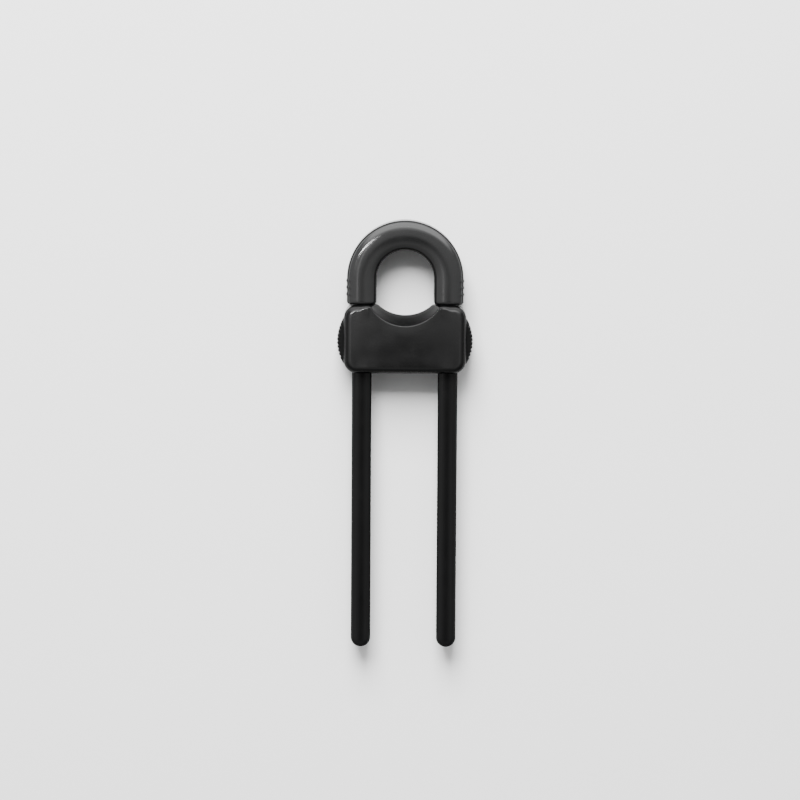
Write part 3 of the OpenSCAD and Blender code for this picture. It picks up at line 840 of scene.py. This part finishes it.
def latch_frame():
    """The latch's frame: a bar on the leg's inner side, and a cheek along its front and its back."""
    bar_x = LEG_IN_X - LATCH_GAP
    outer = block((BAR_IN_X, LATCH_Y - LATCH_L / 2, MID_Z - CHEEK_OUT),
                  (CAVITY_X - FIT_GAP, LATCH_Y + LATCH_L / 2, MID_Z + CHEEK_OUT))
    inner = block((bar_x, LATCH_Y - LATCH_L, MID_Z - CHEEK_IN),
                  (CAVITY_X + MM, LATCH_Y + LATCH_L, MID_Z + CHEEK_IN))
    combine(outer, "DIFFERENCE", inner)
    return outer


def latch_button():
    """The button's stem, from beside the leg to the seat of its pad."""
    from_x = LEG_OUT_X + LATCH_GAP
    button = solid([button_ring(1, x, 0) for x in (from_x, GRIP_SEAT_X)])
    reach, far = LATCH_L / 2, BUTTON_H
    shoulder_x = LEG_OUT_X + LATCH_GAP + PRESS_L
    notches = [
        block((from_x - MM, LATCH_Y - far, MID_Z - CHEEK_IN), (shoulder_x, LATCH_Y + far, MID_Z + CHEEK_IN)),
        block((from_x - MM, LATCH_Y + reach, -far), (shoulder_x, LATCH_Y + far, far + SLIDER_T)),
        block((from_x - MM, LATCH_Y - far, -far), (shoulder_x, LATCH_Y - reach, far + SLIDER_T)),
    ]
    combine(button, "DIFFERENCE", *notches)
    return button


def latch_teeth():
    """The saw-shaped teeth on the latch's bar, a small gap from the leg's."""
    low_y = FIRST_TOOTH_Y + STEEP_GAP
    over = TOOTH_H * TOOTH_LAND / (TOOTH_PITCH - TOOTH_LAND)
    root_x = LEG_IN_X - MESH_GAP
    line = [(BAR_IN_X + LATCH_BAR_T / 2, low_y)]
    for i in range(LATCH_TEETH):
        line.append((root_x + TOOTH_H, low_y + i * TOOTH_PITCH))
        line.append((root_x - over, low_y + (i + 1) * TOOTH_PITCH))
    line.append((BAR_IN_X + LATCH_BAR_T / 2, low_y + LATCH_TEETH * TOOTH_PITCH))
    low_z = MID_Z - CHEEK_IN
    return solid([[(x, y, z) for x, y in line] for z in (low_z, low_z + LEG_T - TOOTH_CAP_T)])


def make_latch(side, material):
    word = word_for(side)
    latch = latch_frame()
    latch.name = word + "_catch"
    combine(latch, "UNION", latch_button())
    soften(latch, LATCH_EDGE_R)
    combine(latch, "UNION", latch_teeth(), peg(BAR_IN_X - PEG_D / 2, BAR_IN_X + PEG_D / 2))
    mirror_if_left(latch, side)
    finish_piece(latch, word + "_button", word + "_latch", material)


# ---- Springs and screws


def coil_centre(turned):
    """The middle of the spring's wire after so many turns. The turns lie closer at both ends."""
    start, end = spring_low.x + WIRE_D / 2, spring_high.x - WIRE_D / 2
    share = turned / SPRING_TURNS
    share -= SPRING_CLOSED * math.sin(2 * math.pi * share)
    r = (SPRING_D - WIRE_D) / 2
    a = 2 * math.pi * turned
    return Vector((start + (end - start) * share, r * math.cos(a), r * math.sin(a)))


def coil_ring(turned):
    """The wire's section after so many turns, kept between the spring's flat ends."""
    middle = coil_centre(turned)
    step = 1 / TURN_STEPS
    way = (coil_centre(turned + step) - coil_centre(turned - step)).normalized()
    out = Vector((0, middle.y, middle.z)).normalized()
    across = way.cross(out)
    ring = []
    for i in range(WIRE_SIDES):
        a = 2 * math.pi * i / WIRE_SIDES
        p = middle + WIRE_D / 2 * (math.cos(a) * out + math.sin(a) * across)
        x = min(max(p.x, spring_low.x), spring_high.x)
        ring.append((x, LATCH_Y + p.y, MID_Z + p.z))
    return ring


def make_spring(side, material):
    """A round wire spring with closed ends."""
    word = word_for(side)
    rings = [coil_ring(i / TURN_STEPS) for i in range(SPRING_TURNS * TURN_STEPS + 1)]
    spring = solid(rings, word + "_coil")
    mirror_if_left(spring, side)
    finish_piece(spring, "slider", word + "_spring", material)
    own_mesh(spring)


def screw_shank(place):
    """The threaded shank, with its thread as a winding ridge."""
    rings_per_turn = 8
    bottom, top = RECESS_DEPTH, RECESS_DEPTH + SCREW_L
    count = round(SCREW_L / SCREW_PITCH * rings_per_turn)
    rings = []
    for i in range(count + 1):
        z = bottom + (top - bottom) * i / count
        taper = SCREW_POINT + (1 - SCREW_POINT) * min(1, (top - z) / SCREW_D)
        ring = []
        for k in range(SHANK_SIDES):
            a = 2 * math.pi * k / SHANK_SIDES
            phase = (z / SCREW_PITCH - k / SHANK_SIDES) % 1
            thread = max(0, 1 - abs(phase - 0.5) * 4)
            r = SCREW_D / 2 * taper * (SCREW_ROOT + (1 - SCREW_ROOT) * thread)
            ring.append((place[0] + r * math.cos(a), place[1] + r * math.sin(a), z))
        rings.append(ring)
    return solid(rings)


def cross_slot(place, low, long_x):
    """One of the two slots of a cross recess, which taper into the head."""
    rings = []
    for z, share in ((low - MM, 1), (low, 1), (low + CROSS_D * SCREW_HEAD_T, CROSS_TAPER)):
        a, b = CROSS_L * SCREW_HEAD_D * share, CROSS_W * SCREW_HEAD_D * share
        w, h = (a, b) if long_x else (b, a)
        corners = ((w, h), (-w, h), (-w, -h), (w, -h))
        rings.append([(place[0] + x, place[1] + y, z) for x, y in corners])
    return solid(rings)


def screw_head(place):
    """A pan head with a cross recess, which looks to the back."""
    low = RECESS_DEPTH - SCREW_HEAD_T
    r = SCREW_HEAD_D / 2
    dome = DOME * SCREW_HEAD_T
    stations = [(RECESS_DEPTH + FIT_GAP / 2, 0.98 * r), (RECESS_DEPTH - FIT_GAP, r), (low + dome, r)]
    for i in range(1, DOME_STEPS):
        a = math.pi / 2 * i / DOME_STEPS
        share = DOME_TOP + (1 - DOME_TOP) * math.cos(a) ** 0.7
        stations.append((low + dome * (1 - math.sin(a)), r * share))
    head = post(place, stations, HEAD_SIDES)
    combine(head, "DIFFERENCE", cross_slot(place, low, True), cross_slot(place, low, False))
    return head


def make_screws(material):
    screws = screw_head(SCREW_PLACES[0])
    screws.name = "shell_screws"
    parts = [screw_head(place) for place in SCREW_PLACES[1:]]
    parts += [screw_shank(place) for place in SCREW_PLACES]
    combine(screws, "UNION", *parts)
    finish_piece(screws, "slider", "housing_screws", material)


# ---- Materials


def add_node(tree, kind, inputs=None, **settings):
    """Adds a node. inputs holds numbers, colours or other nodes' outputs for its sockets."""
    node = tree.nodes.new("ShaderNode" + kind)
    for name, value in settings.items():
        setattr(node, name, value)
    for name, value in (inputs or {}).items():
        if isinstance(value, bpy.types.NodeSocket):
            tree.links.new(value, node.inputs[name])
        else:
            node.inputs[name].default_value = value
    return node


def new_material(name, **settings):
    material = bpy.data.materials.new(name)
    material.use_nodes = True
    tree = material.node_tree
    shader = tree.nodes["Principled BSDF"]
    for socket, value in settings.items():
        shader.inputs[socket.replace("_", " ")].default_value = value
    return material, tree, shader


def grey(level, tint=0.0):
    """A neutral colour, slightly cooler with a positive tint."""
    return (level * (1 - tint), level, level * (1 + tint), 1)


def noise(tree, place, scale, detail=2.0, roughness=0.5):
    inputs = {"Vector": place, "Scale": scale, "Detail": detail, "Roughness": roughness}
    return add_node(tree, "TexNoise", inputs).outputs["Fac"]


def ranged(tree, value, low, high, to_low, to_high):
    inputs = {"Value": value, "From Min": low, "From Max": high, "To Min": to_low, "To Max": to_high}
    return add_node(tree, "MapRange", inputs).outputs["Result"]


def spread(tree, cloud, low, high):
    """Brings a noise, most of which lies between 0.3 and 0.7, to another range."""
    return ranged(tree, cloud, 0.3, 0.7, low, high)


def math_node(tree, operation, first, second=0.0):
    return add_node(tree, "Math", {0: first, 1: second}, operation=operation).outputs[0]


def product(tree, first, *others):
    for other in others:
        first = math_node(tree, "MULTIPLY", first, other)
    return first


def mixed(tree, share, first, second):
    inputs = {"Factor": share, 6: first, 7: second}
    return add_node(tree, "Mix", inputs, data_type="RGBA").outputs[2]


def fine_bump(tree, shader, height, strength, depth):
    bump = add_node(tree, "Bump", {"Height": height, "Strength": strength, "Distance": depth})
    tree.links.new(bump.outputs["Normal"], shader.inputs["Normal"])


def paler_edges(tree, colour, start, end, share, worn_grey):
    """Lays a worn grey over the sharp edges, by how much the surface is bent there."""
    bent = add_node(tree, "NewGeometry").outputs["Pointiness"]
    return mixed(tree, ranged(tree, bent, start, end, 0, share), colour, worn_grey)


def dull_at_edges(tree, shader, shine, round_share, side_share):
    """Less shine where the surface turns away, as on finely textured plastic: round_share of it on the
    rounded edges, and side_share of that on the sides."""
    turned = add_node(tree, "LayerWeight", {"Blend": 0.5}).outputs["Facing"]
    level = product(tree, shine, ranged(tree, turned, 0.24, 0.42, 1, side_share))
    if round_share < 1:
        level = product(tree, level, ranged(tree, turned, 0.015, 0.09, 1, round_share))
    tree.links.new(level, shader.inputs["Specular IOR Level"])


def plastic_roughness(tree, place, gloss):
    """A sheen that varies a little, with a few scuffs along the lock."""
    sheen = spread(tree, noise(tree, place, 120, 3), gloss - 0.03, gloss + 0.04)
    streaks = add_node(tree, "Mapping", {"Vector": place, "Scale": (1, 0.07, 1)}).outputs["Vector"]
    scuffs = ranged(tree, noise(tree, streaks, 900, 2, 0.6), 0.7, 0.76, 0, 0.06)
    return math_node(tree, "ADD", sheen, scuffs)


def moulded_plastic(name, level, gloss, shine, round_share=1.0, side_share=0.02, below=None):
    """Semi-gloss moulded plastic: a faint flow in its grey, fine grain, a few scuffs and paler edges. Below
    the bow's limbs its shine and its grey are multiplied by the two shares in below, where it is given:
    painted shade, which makes the legs darker and duller than the bow, though they are of the same plastic."""
    material, tree, shader = new_material(name)
    place = add_node(tree, "TexCoord").outputs["Object"]
    flow = spread(tree, noise(tree, place, 45, 4), 0, 1)
    colour = mixed(tree, flow, grey(0.88 * level, 0.012), grey(1.12 * level, 0.012))
    # Painted shade: below the limbs' ends the grey and the shine fall, so the legs look darker than the bow
    # of the same plastic.
    if below:
        height = add_node(tree, "SeparateXYZ", {"Vector": place}).outputs["Y"]
        shine = ranged(tree, height, LIMB_END_Y - MM, LIMB_END_Y, below[0] * shine, shine)
        share = ranged(tree, height, LIMB_END_Y - MM, LIMB_END_Y, below[1], 1)
        colour = mixed(tree, share, grey(0), colour)
    colour = paler_edges(tree, colour, 0.515, 0.6, 0.35, grey(1.8 * level, 0.01))
    tree.links.new(colour, shader.inputs["Base Color"])
    tree.links.new(plastic_roughness(tree, place, gloss), shader.inputs["Roughness"])
    dull_at_edges(tree, shader, shine, round_share, side_share)
    fine_bump(tree, shader, noise(tree, place, 3800, 2), 0.05, 0.02 * MM)
    return material


def soft_rubber(name, level):
    """Dull black rubber, with cloudy grey, fine grain and paler edges on its ribs."""
    material, tree, shader = new_material(name, Specular_IOR_Level=0.2)
    place = add_node(tree, "TexCoord").outputs["Object"]
    cloud = noise(tree, place, 300, 4)
    colour = mixed(tree, cloud, grey(0.8 * level, 0.01), grey(1.3 * level, 0.01))
    colour = paler_edges(tree, colour, 0.52, 0.62, 0.5, grey(2.2 * level, 0.01))
    tree.links.new(colour, shader.inputs["Base Color"])
    tree.links.new(spread(tree, cloud, 0.5, 0.62), shader.inputs["Roughness"])
    fine_bump(tree, shader, noise(tree, place, 6000, 3), 0.3, 0.02 * MM)
    return material


def drawn_steel(name, level):
    """Bright steel with fine draw lines."""
    material, tree, shader = new_material(name, Metallic=1.0)
    place = add_node(tree, "TexCoord").outputs["Object"]
    cloud = noise(tree, place, 700, 3)
    colour = mixed(tree, cloud, grey(0.8 * level, 0.02), grey(1.1 * level, 0.02))
    tree.links.new(colour, shader.inputs["Base Color"])
    tree.links.new(spread(tree, cloud, 0.24, 0.38), shader.inputs["Roughness"])
    lines = add_node(tree, "Mapping", {"Vector": place, "Scale": (8, 1, 1)}).outputs["Vector"]
    fine_bump(tree, shader, noise(tree, lines, 5000, 2), 0.15, 0.01 * MM)
    return material


def floor_paper(name):
    """Plain pale paper with a hardly visible cloud."""
    material, tree, shader = new_material(name, Roughness=0.6, Specular_IOR_Level=0.3)
    place = add_node(tree, "TexCoord").outputs["Object"]
    colour = mixed(tree, noise(tree, place, 4, 2), grey(0.79), grey(0.81))
    tree.links.new(colour, shader.inputs["Base Color"])
    return material


# ---- Camera, floor and lights

PHOTO = 800
MM_PER_PIXEL = 0.4622
AIM_PIXEL = (404.3, 434.3)
CAMERA_DISTANCE = 1.4
CAMERA_TILT = math.radians(5.3)
PHOTO_ROLL = math.radians(0.354)

# The room's glow at the left and at the right, and the share of it towards the legs
ROOM_LEFT = 0.64
ROOM_RIGHT = 0.42
ROOM_LOW_END = 0.5

# The bright wall past the bow: the way to its middle, the cosines off that way at which its glow starts and
# is full, and its glow
WALL_WAY = (0.05, 0.905, 0.423)
WALL_EDGE = 0.61
WALL_FULL = 0.78
WALL_GLOW = 2.6

# The dark stripe overhead, by the components of the direction to it: each pair goes from full dark to none,
# across the stripe, towards the bow and towards the legs. The last is the share of the glow that it leaves.
SHADE_X = (0.04, 0.17)
SHADE_TOP_Y = (-0.1, 0)
SHADE_LOW_Y = (-0.25, -0.4)
SHADE_LEAVES = 0.05


def make_camera():
    """A camera above the lock, which leans a little towards the bow, as the lock does in the photograph."""
    data = bpy.data.cameras.new("photo_camera")
    camera = bpy.data.objects.new("photo_camera", data)
    bpy.context.scene.collection.objects.link(camera)
    data.lens = data.sensor_width * CAMERA_DISTANCE / (PHOTO * MM_PER_PIXEL * MM)
    data.clip_end = 20
    across = (PHOTO / 2 - AIM_PIXEL[0]) * MM_PER_PIXEL * MM
    up = (AIM_PIXEL[1] - PHOTO / 2) * MM_PER_PIXEL * MM
    roll = Matrix.Rotation(PHOTO_ROLL, 4, "Z")
    aim = Matrix.Translation(roll.to_3x3() @ Vector((across, up, 0)) + Vector((0, 0, MID_Z)))
    lean = Matrix.Rotation(-CAMERA_TILT, 4, "X")
    camera.matrix_world = aim @ roll @ lean @ Matrix.Translation((0, 0, CAMERA_DISTANCE))
    bpy.context.scene.camera = camera


def area_lamp(name, place, size, power, tilt=0):
    """A rectangular lamp that looks down, and leans by its tilt, in degrees, towards the legs."""
    data = bpy.data.lights.new(name, "AREA")
    data.shape = "RECTANGLE"
    data.size, data.size_y = size
    data.energy = power
    light = bpy.data.objects.new(name, data)
    light.location = place
    light.rotation_euler.x = -math.radians(tilt)
    bpy.context.scene.collection.objects.link(light)
    return light


def make_lamps():
    """A bright thin lamp at the upper left and a dim one that runs down from its inner end, which only show
    as reflections, and a large one past the bow, which lights the floor and doesn't show as a reflection."""
    thin = area_lamp("lamp_bar", (-0.5, 0.37, 1.4), (0.36, 0.024), 3.75)
    dim = area_lamp("lamp_arm", (-0.32, 0.14, 1.4), (0.06, 0.5), 0.13)
    thin.visible_diffuse = dim.visible_diffuse = False
    soft = area_lamp("lamp_soft", (-0.18, 1.05, 1.05), (0.7, 1), 88, tilt=45)
    soft.visible_glossy = False


def dark_share(tree, value, span):
    """1 up to the first end of a span, and 0 from its second."""
    return ranged(tree, value, *span, 1, 0)


def make_room():
    """A soft room: a large bright wall past the bow, and a dark stripe overhead, where the camera hangs."""
    world = bpy.data.worlds.new("studio")
    bpy.context.scene.world = world
    world.use_nodes = True
    tree = world.node_tree
    way = add_node(tree, "TexCoord").outputs["Generated"]
    parts = add_node(tree, "SeparateXYZ", {"Vector": way}).outputs
    sides = ranged(tree, parts["X"], -0.5, 0.5, ROOM_LEFT, ROOM_RIGHT)
    low_end = ranged(tree, parts["Y"], -0.5, 0.05, ROOM_LOW_END, 1)
    across = dark_share(tree, math_node(tree, "ABSOLUTE", parts["X"]), SHADE_X)
    top, low = dark_share(tree, parts["Y"], SHADE_TOP_Y), dark_share(tree, parts["Y"], SHADE_LOW_Y)
    shade = ranged(tree, product(tree, across, top, low), 0, 1, 1, SHADE_LEAVES)
    room = product(tree, sides, low_end, shade)
    inputs = {0: way, 1: WALL_WAY}
    towards = add_node(tree, "VectorMath", inputs, operation="DOT_PRODUCT").outputs["Value"]
    wall = ranged(tree, towards, WALL_EDGE, WALL_FULL, 0, WALL_GLOW)
    background = tree.nodes["Background"]
    background.inputs["Color"].default_value = grey(1)
    tree.links.new(math_node(tree, "ADD", room, wall), background.inputs["Strength"])


def make_floor():
    bm = bmesh.new()
    bmesh.ops.create_grid(bm, x_segments=8, y_segments=8, size=3)
    floor = new_object("floor", bm)
    floor.data.transform(Matrix.Translation((0, 0, -HAIR)))
    floor.data.materials.append(floor_paper("pale_floor"))


make_camera()
make_lamps()
make_room()
make_floor()

# The shares in below paint shade on the legs: 0.35 of the bow's shine and 0.4 of its grey.
bar_plastic = moulded_plastic("bar_plastic", 0.007, 0.14, 1, below=(0.35, 0.4))
shell_plastic = moulded_plastic("shell_plastic", 0.002, 0.17, 1, 0.35, 0.13)
latch_plastic = moulded_plastic("latch_plastic", 0.003, 0.35, 0.5)
grip_rubber = soft_rubber("grip_rubber", 0.0012)
spring_steel = drawn_steel("spring_steel", 0.55)
screw_steel = drawn_steel("screw_steel", 0.5)

make_bar(bar_plastic)
make_front_shell(shell_plastic)
make_back_shell(shell_plastic)
for side in (-1, 1):
    make_grip(side, grip_rubber)
    make_latch(side, latch_plastic)
    make_spring(side, spring_steel)
make_screws(screw_steel)
